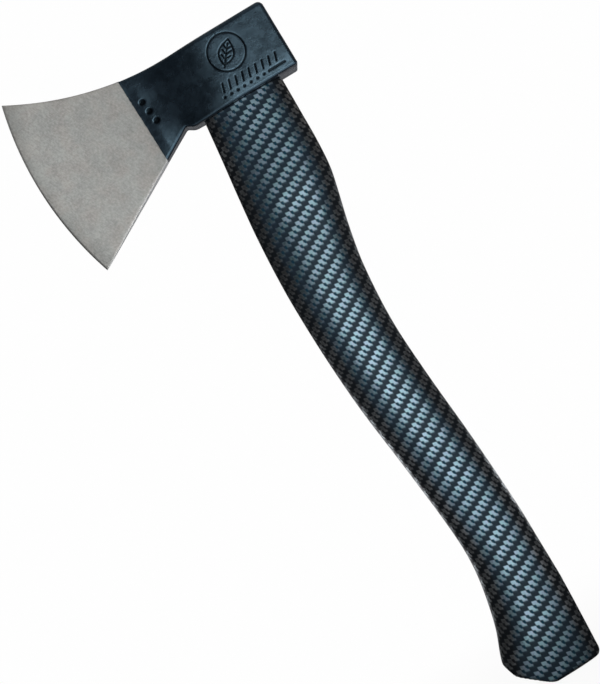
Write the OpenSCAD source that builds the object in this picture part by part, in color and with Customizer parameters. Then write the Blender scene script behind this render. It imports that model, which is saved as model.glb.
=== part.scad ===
// Hatchet: a forged head with a flared oval eye, hung on a curved wooden haft.
// The haft's tongue is spread in the eye by one wooden wedge and two steel cross wedges.
//
// Frame: millimetres. The origin lies on the flat end of the pommel, straight below the eye's centre.
// +Z runs up through the eye, +X points to the poll, -X to the cutting edge, Y is thickness.
// The modules work in heights above the head's underside, and standing() lifts them into this frame.

/* [Head] */
// Height of the eye block, underside to top
eye_block_h = 35.8; // [33:0.1:40]
// Distance from the eye's centre to the striking face of the poll
poll_reach = 31.6; // [30:0.1:36]
// Thickness of the eye block across its cheeks
block_t = 31; // [28:0.5:34]
// Rounding of the eye block's edges
block_edge_r = 2.2; // [1:0.1:3]
// Rounding of the poll's upper corner seen from the side
poll_corner_r = 3; // [1:0.5:5]
// Rounding of the poll's lower corner seen from the side
poll_foot_r = 1.4; // [1:0.1:4]
// Where the top edge leaves the straight and sweeps up towards the toe
sweep_start_x = -18; // [-26:1:-16]

/* [Blade] */
// Toe, the upper end of the cutting edge, measured towards the blade
toe_x = -102.9; // [-110:0.1:-98]
// Height of the toe above the underside of the eye block
toe_z = 58.9; // [55:0.1:62]
// Heel, the lower end of the cutting edge, measured towards the blade
heel_x = -100.2; // [-106:0.1:-96]
// Height of the heel; it hangs below the eye block
heel_z = -37.2; // [-40:0.1:-30]
// Radius of the cutting edge seen from the side
edge_r = 171.6; // [120:0.1:260]
// Where the ground face starts
grind_x = -47.5; // [-52:0.5:-44]
// Blade thickness at the start of the ground face
grind_t = 12.4; // [9:0.1:13]
// Blade thickness that the ground faces run down to at the foremost point of the edge
flank_t = 1.2; // [0.8:0.1:1.6]
// Half of the angle between the two fine bevels at the very edge
bevel_half_angle = 14; // [12:1:18]
// Thickness left at the very edge
edge_t = 0.2; // [0.2:0.1:0.5]

/* [Eye] */
// Length of the eye at the underside
eye_l = 37; // [34:0.5:38]
// Width of the eye at the underside
eye_w = 17.5; // [15:0.5:18]
// Height of the eye's straight lower part
eye_straight_h = 12; // [8:1:16]
// Growth of the eye's length and width from there to the top
eye_flare = 3; // [2:0.5:4]

/* [Haft] */
// Overall length of the haft, eye included
haft_l = 357; // [350:1:370]
// Thickness of the haft under the head
haft_neck_t = 22; // [20:0.5:24]
// Thickness of the haft at the grip
haft_grip_t = 25; // [22:0.5:28]
// Thickness of the haft at the pommel
haft_pommel_t = 28; // [24:0.5:30]
// How far the tongue stops below the top of the head
tongue_recess = 0.5; // [0.2:0.1:1]
// Rounding of the pommel's corners seen from the side
pommel_r = 4.5; // [3:0.5:5]

/* [Wedges] */
// Depth of the saw kerf in the tongue
kerf_depth = 27; // [24:1:30]
// Width of the saw kerf
kerf_w = 1.6; // [1.2:0.1:2]
// Depth that the wooden wedge is driven
wood_wedge_depth = 24; // [20:1:26]
// Thickness of the wooden wedge at its head
wood_wedge_t = 6; // [5:0.5:7]
// Depth that each steel wedge is driven
steel_wedge_depth = 17; // [12:1:20]
// Thickness of each steel wedge at its head
steel_wedge_t = 2.4; // [1.8:0.1:3]
// Width of each steel wedge across the tongue
steel_wedge_w = 15; // [10:1:16]
// Distance between the two steel wedges
steel_wedge_gap = 17; // [12:1:22]

/* [Hidden] */
$fn = 64;

// Colours
paint_colour = [0.05, 0.07, 0.10];
carbon_colour = [0.16, 0.21, 0.24];
wedge_wood_colour = [0.62, 0.47, 0.30];
steel_colour = [0.62, 0.61, 0.59];

// Values that follow from the dimensions above
far = 400;                                        // longer than any part, for cutting shapes
tongue_top = eye_block_h - tongue_recess;
haft_bottom = tongue_top - haft_l;                // below the head's underside, so negative
notch = [-30.8, 2.2];                             // where the beard meets the lug under the eye
lug = [-27.2, 0];                                 // where the lug meets the level underside
shoulder_x = -1;                                  // the cheeks start to narrow here
neck_x = -40;                                     // and meet the blade's taper here
outline_steps = 24;

// ---- Curves -----------------------------------------------------------------------------

// Centre of the circle of radius r through p and q, on the left of the way from p to q.
function arc_centre(p, q, r) =
    let (d = q - p, m = (p + q) / 2, h = sqrt(r * r - d * d / 4), n = [-d.y, d.x] / norm(d))
    m + n * h;

// Points of the arc of radius r about c, from angle a to angle b.
function arc_points(c, r, a, b, steps = 8) =
    [for (i = [0:steps]) let (t = a + (b - a) * i / steps) c + r * [cos(t), sin(t)]];

// The arc of radius r that rounds corner p, on the way from a to b.
function fillet(a, p, b, r, steps = 5) =
    let (
        u = (a - p) / norm(a - p),
        v = (b - p) / norm(b - p),
        half = acos(u * v) / 2,
        c = p + (u + v) / norm(u + v) * r / sin(half),
        from = p + u * r / tan(half) - c,
        turn = (cross(v, u) > 0 ? 1 : -1) * (180 - 2 * half))
    arc_points(c, r, atan2(from.y, from.x), atan2(from.y, from.x) + turn, steps);

// An outline from corners [x, z, rounding].
function outline(corners) =
    let (n = len(corners), at = [for (c = corners) [c.x, c.y]])
    [for (i = [0:n - 1]) each corners[i].z > 0
        ? fillet(at[(i + n - 1) % n], at[i], at[(i + 1) % n], corners[i].z)
        : [at[i]]];

// 0 at a, 1 at b, and level at both ends.
function ease(a, b, x) =
    let (t = min(1, max(0, (x - a) / (b - a)))) t * t * (3 - 2 * t);

// A smooth curve through rows of stations [z, value, value, ...], read at z.
function tangent_at(rows, i) =
    i == 0 ? (rows[1] - rows[0]) / (rows[1].x - rows[0].x)
    : i == len(rows) - 1 ? (rows[i] - rows[i - 1]) / (rows[i].x - rows[i - 1].x)
    : (rows[i + 1] - rows[i - 1]) / (rows[i + 1].x - rows[i - 1].x);

function span_of(rows, z, i = 0) =
    i >= len(rows) - 2 || z <= rows[i + 1].x ? i : span_of(rows, z, i + 1);

function along(rows, z) =
    let (i = span_of(rows, z), a = rows[i], b = rows[i + 1], h = b.x - a.x, t = (z - a.x) / h)
    a * (1 - 3 * t * t + 2 * t * t * t) + b * (3 * t * t - 2 * t * t * t)
    + tangent_at(rows, i) * h * (t - 2 * t * t + t * t * t)
    + tangent_at(rows, i + 1) * h * (t * t * t - t * t);

// ---- Head -------------------------------------------------------------------------------

toe = [toe_x, toe_z];
heel = [heel_x, heel_z];
edge_centre = arc_centre(toe, heel, edge_r);
edge_front_x = edge_centre.x - edge_r;            // the foremost point of the cutting edge
sweep_dx = sweep_start_x - toe_x;
sweep_dz = toe_z - eye_block_h;
sweep_r = (sweep_dx * sweep_dx + sweep_dz * sweep_dz) / (2 * sweep_dz);

// Side view: straight top and underside, a top edge that sweeps up and a straight beard.
module head_side() {
    past_edge = edge_front_x - 1;
    beard_slope = (heel.y - notch.y) / (heel.x - notch.x);
    difference() {
        polygon(outline([
            [poll_reach, 0, poll_foot_r],
            [poll_reach, eye_block_h, poll_corner_r],
            [sweep_start_x, eye_block_h, 0],
            [toe_x, toe_z + 6, 0],
            [past_edge, toe_z + 6, 0],
            [past_edge, notch.y + beard_slope * (past_edge - notch.x), 0],
            [notch.x, notch.y, 1],
            [lug.x, lug.y, 3]]));
        translate([sweep_start_x, eye_block_h + sweep_r]) circle(r = sweep_r, $fn = 256);
    }
}

// A wheel about the centre of the cutting edge. Its conical rim is the edge and both fine bevels.
module bevel_wheel() {
    half_w = block_t / 2 + 2;
    rim_run = (half_w - edge_t / 2) / tan(bevel_half_angle);
    translate([edge_centre.x, 0, edge_centre.y]) rotate([90, 0, 0]) rotate_extrude($fn = 256)
        polygon([
            [0, -half_w], [edge_r - rim_run, -half_w], [edge_r, -edge_t / 2],
            [edge_r, edge_t / 2], [edge_r - rim_run, half_w], [0, half_w]]);
}

// Half thickness of the head at x: the blade's taper, a soft shoulder and flat cheeks.
function head_half_t(x) =
    let (
        taper = (grind_t - flank_t) / (grind_x - edge_front_x),
        flank = (flank_t + taper * (x - edge_front_x)) / 2,
        e = ease(neck_x, shoulder_x, x))
    flank * (1 - e) + block_t / 2 * e;

// Plan view, the same at every height.
module head_plan() {
    r = block_edge_r;
    xs = concat(
        [edge_front_x - 1],
        [for (i = [0:outline_steps]) neck_x + (shoulder_x - neck_x) * i / outline_steps]);
    near = [for (x = xs) [x, -head_half_t(x)]];
    distant = [for (i = [len(xs) - 1:-1:0]) [xs[i], head_half_t(xs[i])]];
    polygon(concat(
        near,
        arc_points([poll_reach - r, r - block_t / 2], r, -90, 0),
        arc_points([poll_reach - r, block_t / 2 - r], r, 0, 90),
        distant));
}

// End view: the eye block's rounded section, and a thinner one for the blade above and below it.
module head_end() {
    r = block_edge_r;
    w = block_t / 2;
    h = eye_block_h;
    blade_w = 10;                                 // clear of the blade's flanks
    polygon(concat(
        arc_points([w - r, r], r, -90, 0),
        arc_points([w - r, h - r], r, 0, 90),
        arc_points([r - w, h - r], r, 90, 180),
        arc_points([r - w, r], r, 180, 270)));
    translate([-blade_w, heel_z - 5]) square([2 * blade_w, toe_z - heel_z + 10]);
}

// The space inside the eye: a straight oval that flares towards the top.
module eye_space() {
    r = eye_w / 2;
    half_l = eye_l / 2 - r;
    top_r = r + eye_flare / 2;
    flare_h = eye_block_h - eye_straight_h;
    for (s = [-1, 1]) translate([s * half_l, 0, 0]) {
        translate([0, 0, -1]) cylinder(r = r, h = eye_straight_h + 1);
        translate([0, 0, eye_straight_h]) cylinder(r1 = r, r2 = top_r, h = flare_h);
        translate([0, 0, eye_block_h]) cylinder(r = top_r, h = 1);
    }
    translate([-half_l, 0, 0]) rotate([90, 0, 90]) linear_extrude(2 * half_l)
        polygon([
            [-r, -1], [r, -1], [r, eye_straight_h], [top_r, eye_block_h],
            [top_r, eye_block_h + 1], [-top_r, eye_block_h + 1], [-top_r, eye_block_h],
            [-r, eye_straight_h]]);
}

module head() {
    color(paint_colour) difference() {
        intersection() {
            rotate([90, 0, 0]) linear_extrude(far, center = true) head_side();
            linear_extrude(far, center = true) head_plan();
            bevel_wheel();
            rotate([90, 0, 90]) linear_extrude(far, center = true) head_end();
        }
        eye_space();
    }
}

// ---- Haft -------------------------------------------------------------------------------

// Stations down the haft: height, belly (towards the edge), back (towards the poll), half thickness.
haft_stations = [
    [-360, -49, 12.6, haft_pommel_t / 2],
    [-302, -34.2, 12.6, haft_pommel_t / 2],
    [-285, -28.2, 12.7, haft_pommel_t / 2 - 0.6],
    [-260, -22.7, 12.7, haft_grip_t / 2],
    [-240, -21.7, 12.6, haft_grip_t / 2 - 0.5],
    [-200, -24.9, 10.7, haft_grip_t / 2],
    [-160, -29.2, 7.8, haft_grip_t / 2],
    [-130, -30.9, 6.7, haft_grip_t / 2],
    [-100, -31.3, 8.9, haft_grip_t / 2],
    [-80, -30.6, 12.6, haft_grip_t / 2 - 0.3],
    [-60, -29.1, 17.6, haft_grip_t / 2 - 0.5],
    [-50, -28, 19.8, haft_neck_t / 2 + 1.1],
    [-36, -26.3, 21, haft_neck_t / 2 + 0.8],
    [-20, -24.2, 21.4, haft_neck_t / 2 + 0.3],
    [0, -21.8, 21.8, haft_neck_t / 2]];
haft_rings = 44;
haft_sides = 32;
haft_squareness = 2.3;                            // 2 is an ellipse, higher is more square

// One cross-section of the haft at height z.
function haft_ring(z) =
    let (s = along(haft_stations, z), mid = (s[1] + s[2]) / 2, half = (s[2] - s[1]) / 2, p = 2 / haft_squareness)
    [for (i = [0:haft_sides - 1])
        let (a = 360 * i / haft_sides, c = cos(a), n = sin(a))
        [mid + half * sign(c) * pow(abs(c), p), s[3] * sign(n) * pow(abs(n), p), z]];

// A solid skinned over the cross-sections, longer than the haft at the bottom.
module haft_blank() {
    bottom = haft_stations[0].x;
    points = [for (i = [0:haft_rings]) each haft_ring(bottom - bottom * i / haft_rings)];
    n = haft_sides;
    last = haft_rings * n;
    sides = [for (i = [0:haft_rings - 1]) for (j = [0:n - 1])
        let (a = i * n + j, b = i * n + (j + 1) % n) each [[a, a + n, b + n], [a, b + n, b]]];
    polyhedron(
        points,
        concat([[for (j = [0:n - 1]) j]], sides, [[for (j = [n - 1:-1:0]) last + j]]),
        convexity = 4);
}

// Side view of the space the haft is trimmed to: a level end, a slanting cut across the front
// of the pommel, a steeper one at its tip, and rounded corners between them.
module pommel_trim() {
    clear = 60;
    polygon(outline([
        [-clear, 1, 0],
        [-clear, -234, 0],
        [-31.9, -310.2, pommel_r],
        [-16.6, haft_bottom, pommel_r],
        [10.2, haft_bottom, pommel_r],
        [12.7, -282, 0],
        [clear, -200, 0],
        [clear, 1, 0]]));
}

// The part of the haft inside the eye, before it is slotted for the wedges.
module tongue() {
    intersection() {
        eye_space();
        translate([-far / 2, -far / 2, 0]) cube([far, far, tongue_top]);
    }
}

module kerf() {
    translate([-far / 2, -kerf_w / 2, tongue_top - kerf_depth]) cube([far, kerf_w, far]);
}

module haft() {
    color(carbon_colour) union() {
        intersection() {
            haft_blank();
            rotate([90, 0, 0]) linear_extrude(far, center = true) pommel_trim();
        }
        difference() {
            tongue();
            kerf();
            wood_wedge_blank();
            steel_wedge(-1);
            steel_wedge(1);
        }
    }
}

// ---- Wedges -----------------------------------------------------------------------------

// The wooden wedge before it is trimmed to the eye and split by the steel wedges.
module wood_wedge_blank() {
    tip = kerf_w / 2;
    top = wood_wedge_t / 2;
    foot = tongue_top - wood_wedge_depth;
    translate([-far / 2, 0, 0]) rotate([90, 0, 90]) linear_extrude(far)
        polygon([[-tip, foot], [tip, foot], [top, tongue_top], [-top, tongue_top]]);
}

module wood_wedge() {
    color(wedge_wood_colour) difference() {
        intersection() {
            wood_wedge_blank();
            tongue();
        }
        steel_wedge(-1);
        steel_wedge(1);
    }
}

// A steel cross wedge with stepped barbs; side is -1 towards the edge and 1 towards the poll.
module steel_wedge(side) {
    barbs = 3;
    barb = 0.25;
    tip = 0.6;
    foot = tongue_top - steel_wedge_depth;
    function half_t(t) = tip / 2 + (steel_wedge_t - tip) / 2 * t;
    flank = [for (i = [0:barbs - 1]) each [
        [half_t(i / barbs), foot + steel_wedge_depth * i / barbs],
        [half_t((i + 1) / barbs) + barb, foot + steel_wedge_depth * (i + 0.92) / barbs]]];
    right = concat(flank, [[steel_wedge_t / 2, tongue_top]]);
    left = [for (i = [len(right) - 1:-1:0]) [-right[i].x, right[i].y]];
    translate([side * steel_wedge_gap / 2, steel_wedge_w / 2, 0]) rotate([90, 0, 0])
        linear_extrude(steel_wedge_w) polygon(concat(right, left));
}

// ---- Assembly ---------------------------------------------------------------------------

module standing() {
    translate([0, 0, -haft_bottom]) children();
}

standing() head();
standing() haft();
standing() wood_wedge();
standing() color(steel_colour) steel_wedge(-1);  // steel_wedge_front
standing() color(steel_colour) steel_wedge(1);  // steel_wedge_rear
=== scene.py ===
"""Looks of the hatchet: a painted head with a ground blade, a printed haft and three wedges.

The CAD model is the frame. Every piece is built here in millimetres, with heights counted from the
underside of the head, and then placed in the frame, which is in metres.
"""
import math

import bpy
import numpy as np
from mathutils import Matrix, Vector


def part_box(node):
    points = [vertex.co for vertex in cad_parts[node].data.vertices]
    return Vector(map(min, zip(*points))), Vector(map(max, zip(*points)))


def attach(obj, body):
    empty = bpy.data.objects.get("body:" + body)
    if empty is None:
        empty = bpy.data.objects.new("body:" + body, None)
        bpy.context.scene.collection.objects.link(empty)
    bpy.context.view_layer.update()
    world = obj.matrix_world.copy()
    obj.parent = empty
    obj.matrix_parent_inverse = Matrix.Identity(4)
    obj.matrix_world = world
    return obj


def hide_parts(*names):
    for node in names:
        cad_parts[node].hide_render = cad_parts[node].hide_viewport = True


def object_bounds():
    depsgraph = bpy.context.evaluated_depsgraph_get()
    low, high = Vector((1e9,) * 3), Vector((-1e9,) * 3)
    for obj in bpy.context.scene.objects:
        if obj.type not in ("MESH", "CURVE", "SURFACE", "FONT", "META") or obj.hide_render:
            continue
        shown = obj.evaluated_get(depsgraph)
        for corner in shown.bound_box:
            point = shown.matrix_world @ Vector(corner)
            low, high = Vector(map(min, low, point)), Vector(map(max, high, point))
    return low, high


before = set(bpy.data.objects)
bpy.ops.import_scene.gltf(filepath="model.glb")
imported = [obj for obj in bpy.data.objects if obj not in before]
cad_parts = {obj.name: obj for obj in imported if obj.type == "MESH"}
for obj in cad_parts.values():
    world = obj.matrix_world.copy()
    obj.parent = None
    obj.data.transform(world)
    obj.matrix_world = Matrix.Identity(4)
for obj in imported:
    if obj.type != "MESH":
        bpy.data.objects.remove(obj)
cad_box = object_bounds()

# ---- Dimensions -----------------------------------------------------------------------------
# Millimetres. x runs to the poll, y is thickness, z counts from the underside of the head.

HEAD_HIGH = np.array(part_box("head")[1]) * 1000
HAFT_LOW, HAFT_HIGH = (np.array(corner) * 1000 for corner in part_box("haft"))
TONGUE_TOP = 35.3
UNDERSIDE = HAFT_HIGH[2] - TONGUE_TOP       # height of the head's underside in the frame
BLOCK_TOP = 35.8                            # flat top of the eye block
POLL_X = HEAD_HIGH[0]
BLOCK_HALF_T = HEAD_HIGH[1]
BLOCK_ROUND = 2.2                           # rounding of the block's edges
POLL_CORNER_R = 3.0                         # outline's corner at the top of the poll
POLL_FOOT_R = 0.9                           # and at its foot
FOOT_ROUND = 1.3                            # rounding of the edges round the underside
NECK_ROUND = 1.3                            # rounding of the edges at the neck
GROUND_ROUND = 0.35                         # and where the blade is ground
FOOT_DRAFT = 0.22                           # the cheeks lean in this much above the underside
FOOT_DRAFT_H = 8.0                          # over this height

SWEEP_X = -18.0                             # the top edge sweeps up from here to the toe
TOE = np.array([-102.9, HEAD_HIGH[2] - UNDERSIDE])
SWEEP_RUN = SWEEP_X - TOE[0]
SWEEP_RISE = TOE[1] - BLOCK_TOP
HEEL = np.array([-100.2, -37.2])
EDGE_R = 171.6                              # arc of the cutting edge, from the toe to the heel
NOTCH = np.array([-30.8, 2.2])              # where the beard meets the lug
LUG = np.array([-27.2, 0.0])
BEARD = HEEL - NOTCH
BEARD_IN = np.array([BEARD[1], -BEARD[0]]) / np.linalg.norm(BEARD)     # from the beard's edge inwards
GRIND_X = -47.5                             # the bare ground blade starts here
GRIND_HALF_T = 6.2
GRIND_LIP = 0.5                             # what the grinding took off, beside the painted flank
FLANK_HALF_T = 0.6                          # half thickness that the flanks run to at the cutting edge
ROLLED_HALF_T = 0.45                        # the edge is rolled in to this
ROLLED_SLOPE = 0.20
EDGE_HALF_T = 0.10                          # and bevelled to this at its end
BEVEL_SLOPE = math.tan(math.radians(30))
NECK_X = -42.0                              # the blade's taper starts to swell here
SHOULDER_X = 2.0                            # and is as thick as the block here

# The eye is an oval, two half circles joined by straights, and flares above a plain lower part
EYE_END_R = 8.75
EYE_HALF_L = 9.75
EYE_STRAIGHT_H = 12.0
EYE_FLARE = 1.5

HAFT_FOOT = HAFT_LOW[2] - UNDERSIDE
PRINT_TURNS = (8, 29)                       # weave cells once round the haft, along each of its two rows

KERF_HALF_W = 0.8
KERF_FOOT = TONGUE_TOP - 27
WOOD_WEDGE_HALF_T = 3.0
WOOD_WEDGE_FOOT = TONGUE_TOP - 24
STEEL_WEDGE_X = 8.5
STEEL_WEDGE_HALF_W = 7.5
STEEL_WEDGE_DEPTH = 17.0
FIT_GAP = 0.03                              # between neighbouring pieces, so that they never overlap


# ---- Small tools ----------------------------------------------------------------------------

def ease(a, b, x):
    """0 at a, 1 at b, level at both ends."""
    t = np.clip((x - a) / (b - a), 0, 1)
    return t * t * (3 - 2 * t)


def soft_min(a, b, k):
    """The lower of a and b, rounded over a band of k."""
    h = np.clip(k - np.abs(a - b), 0, None) / k
    return np.minimum(a, b) - h * h * k / 4


def soft_max(a, b, k):
    return -soft_min(-a, -b, k)


def spaced(*stretches):
    """Values along stretches (start, end, step), each end given once."""
    values = []
    for start, end, step in stretches:
        count = max(1, int(round(abs(end - start) / step)))
        values.extend(np.linspace(start, end, count, endpoint=False))
    values.append(stretches[-1][1])
    return np.array(values)


def mesh_object(name, points, faces):
    """An object from points in millimetres and their faces, placed in the frame."""
    placed = (np.asarray(points, float) + np.array([0, 0, UNDERSIDE])) / 1000
    mesh = bpy.data.meshes.new(name)
    mesh.from_pydata([tuple(p) for p in placed], [], [tuple(int(i) for i in f) for f in faces])
    mesh.validate()
    obj = bpy.data.objects.new(name, mesh)
    bpy.context.scene.collection.objects.link(obj)
    return obj


def skin_faces(rings, around, close="flat"):
    """Quads between neighbouring rings, which run the same way round, and both ends closed.

    An end is one flat face, or quads across it.
    """
    faces = []
    for i in range(rings - 1):
        for j in range(around):
            k = (j + 1) % around
            faces.append((i * around + j, i * around + k, (i + 1) * around + k, (i + 1) * around + j))
    last = (rings - 1) * around
    if close == "across":
        half = range(around // 2 - 1)
        faces += [(around - 1 - j, around - 2 - j, j + 1, j) for j in half]
        faces += [(last + j, last + j + 1, last + around - 2 - j, last + around - 1 - j) for j in half]
    else:
        faces.append(tuple(range(around - 1, -1, -1)))
        faces.append(tuple(last + j for j in range(around)))
    return faces


def turn_outwards(obj):
    """Flips the faces if the mesh is inside out."""
    mesh = obj.data
    mesh.calc_loop_triangles()
    co = np.array([v.co for v in mesh.vertices])
    tri = np.array([t.vertices for t in mesh.loop_triangles])
    volume = np.einsum("ij,ij->i", co[tri[:, 0]], np.cross(co[tri[:, 1]], co[tri[:, 2]])).sum()
    if volume < 0:
        mesh.flip_normals()


def apply_modifiers(obj):
    depsgraph = bpy.context.evaluated_depsgraph_get()
    made = bpy.data.meshes.new_from_object(obj.evaluated_get(depsgraph))
    obj.modifiers.clear()
    obj.data = made


def cut(obj, *cutters):
    """Takes the cutters away from obj, and removes them."""
    for cutter in cutters:
        turn_outwards(cutter)
        boolean = obj.modifiers.new("cut", "BOOLEAN")
        boolean.operation = "DIFFERENCE"
        boolean.solver = "EXACT"
        boolean.object = cutter
        apply_modifiers(obj)
        bpy.data.objects.remove(cutter)


def smooth(obj, sharp_above):
    """Smooth shading, apart from edges that turn by more than sharp_above degrees."""
    for polygon in obj.data.polygons:
        polygon.use_smooth = True
    obj.data.set_sharp_from_angle(angle=math.radians(sharp_above))


def place(obj, node):
    """The piece stands in for a CAD node: it hangs from the root, and the node's own part is hidden."""
    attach(obj, "root")
    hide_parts(node)


# ---- Node trees -----------------------------------------------------------------------------

class Nodes:
    """A short way to write a node tree: each call adds nodes and returns their output."""

    def __init__(self, tree):
        self.tree = tree
        tree.nodes.clear()

    def add(self, kind, inputs=None, output=0, **settings):
        node = self.tree.nodes.new(kind)
        for key, value in settings.items():
            setattr(node, key, value)
        for key, value in (inputs or {}).items():
            self.feed(node.inputs[key], value)
        return node.outputs[output]

    def feed(self, socket, value):
        if isinstance(value, bpy.types.NodeSocket):
            self.tree.links.new(value, socket)
        elif socket.type == "RGBA":
            socket.default_value = (*value, 1.0)
        else:
            socket.default_value = value

    def math(self, operation, a, b=0.0, c=0.0):
        return self.add("ShaderNodeMath", {0: a, 1: b, 2: c}, operation=operation)

    def plus(self, a, b):
        return self.math("ADD", a, b)

    def minus(self, a, b):
        return self.math("SUBTRACT", a, b)

    def times(self, product, *more):
        """The product of all the values."""
        for value in more:
            product = self.math("MULTIPLY", product, value)
        return product

    def dip(self, share, amount):
        """1 where share is 0, and less by the amount where share is 1."""
        return self.math("MULTIPLY_ADD", share, -amount, 1.0)

    def scaled(self, a, factor):
        """A vector or a colour times one factor."""
        return self.add("ShaderNodeVectorMath", {0: a, "Scale": factor}, operation="SCALE")

    def stretched(self, a, factors):
        """A vector with a factor for each axis."""
        return self.add("ShaderNodeVectorMath", {0: a, 1: factors}, operation="MULTIPLY")

    def length(self, a):
        return self.add("ShaderNodeVectorMath", {0: a}, output=1, operation="LENGTH")

    def combine(self, x, y, z):
        return self.add("ShaderNodeCombineXYZ", {0: x, 1: y, 2: z})

    def split(self, vector):
        node = self.tree.nodes.new("ShaderNodeSeparateXYZ")
        self.feed(node.inputs[0], vector)
        return node.outputs[0], node.outputs[1], node.outputs[2]

    def band(self, value, start, end, low=0.0, high=1.0, smooth_step=True):
        """low up to start, high from end on, and a smooth or straight change between them."""
        kind = "SMOOTHSTEP" if smooth_step else "LINEAR"
        return self.add(
            "ShaderNodeMapRange", {0: value, 1: start, 2: end, 3: low, 4: high}, interpolation_type=kind)

    def noise(self, vector, scale, detail=3.0, roughness=0.5):
        inputs = {"Vector": vector, "Scale": scale, "Detail": detail, "Roughness": roughness}
        return self.add("ShaderNodeTexNoise", inputs)

    def mix(self, factor, a, b):
        node = self.tree.nodes.new("ShaderNodeMix")
        node.data_type = "RGBA"
        for index, value in ((0, factor), (6, a), (7, b)):
            self.feed(node.inputs[index], value)
        return node.outputs[2]

    def bump(self, height, strength):
        """A bump normal from a height in millimetres."""
        return self.add("ShaderNodeBump", {"Height": height, "Strength": strength, "Distance": 0.001})

    def surface(self, **inputs):
        """Ends the tree with a Principled surface; underscores in names stand for spaces."""
        named = {key.replace("_", " "): value for key, value in inputs.items()}
        self.add_output(self.add("ShaderNodeBsdfPrincipled", named))

    def add_output(self, shader, kind="ShaderNodeOutputMaterial"):
        node = self.tree.nodes.new(kind)
        self.feed(node.inputs["Surface"], shader)

    def millimetres(self):
        """Where the point is, in millimetres, in the frame."""
        place_in_frame = self.add("ShaderNodeTexCoord", output=3)
        return self.scaled(place_in_frame, 1000.0)

    def normal(self):
        """Which way the surface faces, as x, y and z."""
        return self.split(self.add("ShaderNodeNewGeometry", output=1))


def new_material(name):
    material = bpy.data.materials.new(name)
    material.use_nodes = True
    return material, Nodes(material.node_tree)


# ---- Materials ------------------------------------------------------------------------------

PAINT = (0.0060, 0.0095, 0.0140)
PAINT_DUST = (0.0100, 0.0150, 0.0200)
# lighter paint for the painted highlight along the beard's edge
PAINT_HIGHLIGHT = (0.030, 0.048, 0.062)
# near-black for the painted shade in the struck marks
MARK_SHADE = (0.0010, 0.0013, 0.0018)
STEEL = (0.257, 0.262, 0.247)
STEEL_TARNISHED = (0.264, 0.257, 0.239)
# bright steel for painted glints and painted light on the blade
STEEL_PAINTED_LIGHT = (0.62, 0.62, 0.60)
WHITE = (1.0, 1.0, 1.0)

# Steps from one weave cell to the next along each of its rows, in millimetres
WEAVE_ALONG = (-4.40, 5.15)
WEAVE_ASLANT = (2.70, 1.33)


class HeadSpot:
    """Where a point of the head lies, in the terms that its finish depends on."""

    def __init__(self, n):
        self.at = n.millimetres()
        self.x, _, z = n.split(self.at)
        self.above = n.minus(z, UNDERSIDE)
        _, _, self.upward = n.normal()
        from_notch = (n.minus(self.x, NOTCH[0]), n.minus(self.above, NOTCH[1]))
        parts = [n.times(side, share) for side, share in zip(from_notch, BEARD_IN)]
        self.beard_depth = n.plus(*parts)
        self.cloud = n.noise(self.at, 0.10, 3.0, 0.6)


def head_paint(n, spot):
    """Blue-black paint on the forging: colour, sheen, roughness and height."""
    # fine orange peel over a lumpy skin, with specks of dust
    peel = n.noise(spot.at, 1.3, 3.0, 0.6)
    skin = n.noise(spot.at, 0.30, 4.0, 0.6)
    dust = n.band(n.noise(spot.at, 1.9, 2.0, 0.5), 0.66, 0.76)
    tone = n.times(n.band(skin, 0.3, 0.7, 0.85, 1.15), n.band(spot.cloud, 0.3, 0.7, 0.82, 1.18))
    # painted shade: the paint and its sheen are made darker in the hollow of the neck
    neck_shade = n.times(n.band(spot.x, 0, -9), n.band(spot.x, -42, -26))
    tone = n.times(tone, n.dip(neck_shade, 0.38))
    colour = n.scaled(n.mix(dust, PAINT, PAINT_DUST), tone)
    # a painted highlight along a thin line inside the beard's edge, where its rounding starts
    beard_highlight = n.band(n.math("ABSOLUTE", n.minus(spot.beard_depth, 1.5)), 0.6, 0.1)
    beard_highlight = n.times(beard_highlight, n.band(spot.x, NOTCH[0] - 1, NOTCH[0] - 4))
    colour = n.mix(beard_highlight, colour, PAINT_HIGHLIGHT)
    # painted shade: the struck marks are made darker, with less sheen
    mark_shade = n.band(n.add("ShaderNodeAttribute", output=2, attribute_name="struck"), 0.03, 0.22)
    colour = n.mix(mark_shade, colour, MARK_SHADE)
    # painted shade: less sheen on the faces that look down in front of the haft
    underside_sheen_shade = n.times(n.band(spot.upward, -0.3, -0.7), n.band(spot.x, -22, -28))
    sheen = n.times(tone, 0.68, n.dip(underside_sheen_shade, 0.6), n.dip(mark_shade, 0.85))
    rough = n.band(spot.cloud, 0.3, 0.7, 0.23, 0.31)
    height = n.plus(n.times(peel, 0.05), n.times(skin, 0.14))
    return colour, sheen, rough, height


def blade_tone(n, spot, grain, fine):
    """How bright the ground steel is: mottled, with painted light brighter outwards and upwards, and darker
    on its bevel.
    """
    mottle = n.plus(n.band(spot.cloud, 0.3, 0.7, -0.07, 0.07), n.band(grain, 0.25, 0.75, -0.14, 0.14))
    mottle = n.plus(mottle, n.band(fine, 0.25, 0.75, -0.10, 0.10))
    # painted light: the steel is made brighter outwards along the blade and upwards
    outwards = n.band(spot.x, GRIND_X, TOE[0], 1.03, 1.34, smooth_step=False)
    upwards = n.band(spot.above, HEEL[1], TOE[1], 0.88, 1.08, smooth_step=False)
    # the bevel of the cutting edge is darker, most towards the heel
    off_centre = n.combine(n.minus(spot.x, EDGE_CENTRE[0]), n.minus(spot.above, EDGE_CENTRE[1]), 0.0)
    inside_edge = n.minus(EDGE_R, n.length(off_centre))
    bevel_darkening = n.times(n.band(inside_edge, 1.0, 0.4), n.band(spot.above, 30, 5, 0.25, 1.0))
    return n.times(n.plus(mottle, 1.0), outwards, upwards, n.dip(bevel_darkening, 0.55))


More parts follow.
